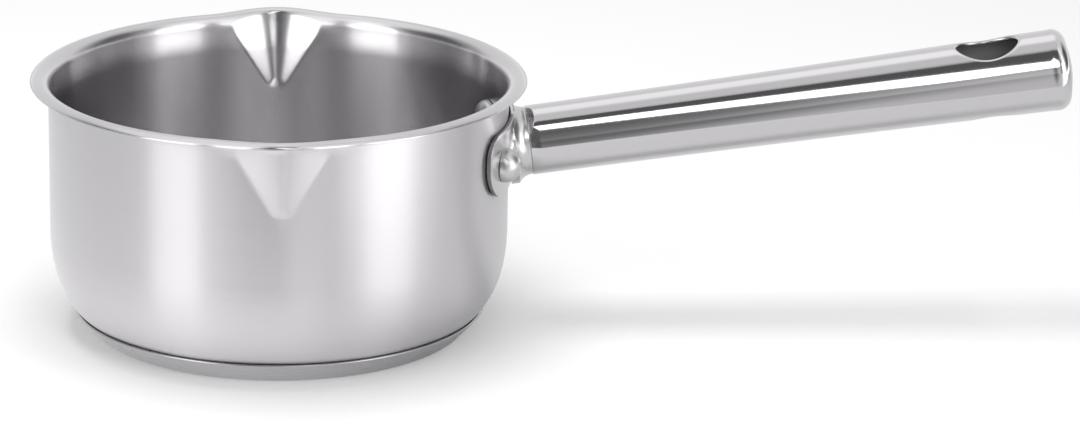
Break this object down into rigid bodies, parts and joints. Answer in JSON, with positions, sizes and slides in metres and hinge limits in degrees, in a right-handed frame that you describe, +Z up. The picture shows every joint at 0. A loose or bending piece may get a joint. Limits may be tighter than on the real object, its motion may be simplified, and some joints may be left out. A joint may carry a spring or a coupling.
{
  "type": "saucepan",
  "caption": "Stainless steel saucepan with a curled rim, a pouring lip on each side, a layered heat-spreading base and a riveted hollow tube handle with a hanging hole.",
  "frame": {"origin": "centre of the flat underside of the base, on the surface that the pan stands on", "axes": "+Z up through the open top, +X from the pan's middle along the handle, the pouring lips face +Y and -Y"},
  "size_m": [0.3692, 0.1824, 0.1064],
  "materials": {
    "shell_steel": "satin brushed stainless steel, brushed around the wall, mirror on the curled rim",
    "disc_aluminium": "plain rolled aluminium, sealed inside the base",
    "base_steel": "circular brushed stainless steel",
    "handle_steel": "mirror polished stainless steel",
    "rivet_steel": "polished stainless steel"
  },
  "bodies": {
    "root": {"pan_body": "shell_steel", "heat_disc": "disc_aluminium", "base_cap": "base_steel", "handle_bracket": "handle_steel", "rivet_front": "rivet_steel", "rivet_back": "rivet_steel", "handle_tube": "handle_steel", "handle_end_cap": "handle_steel"}
  },
  "joints": []
}
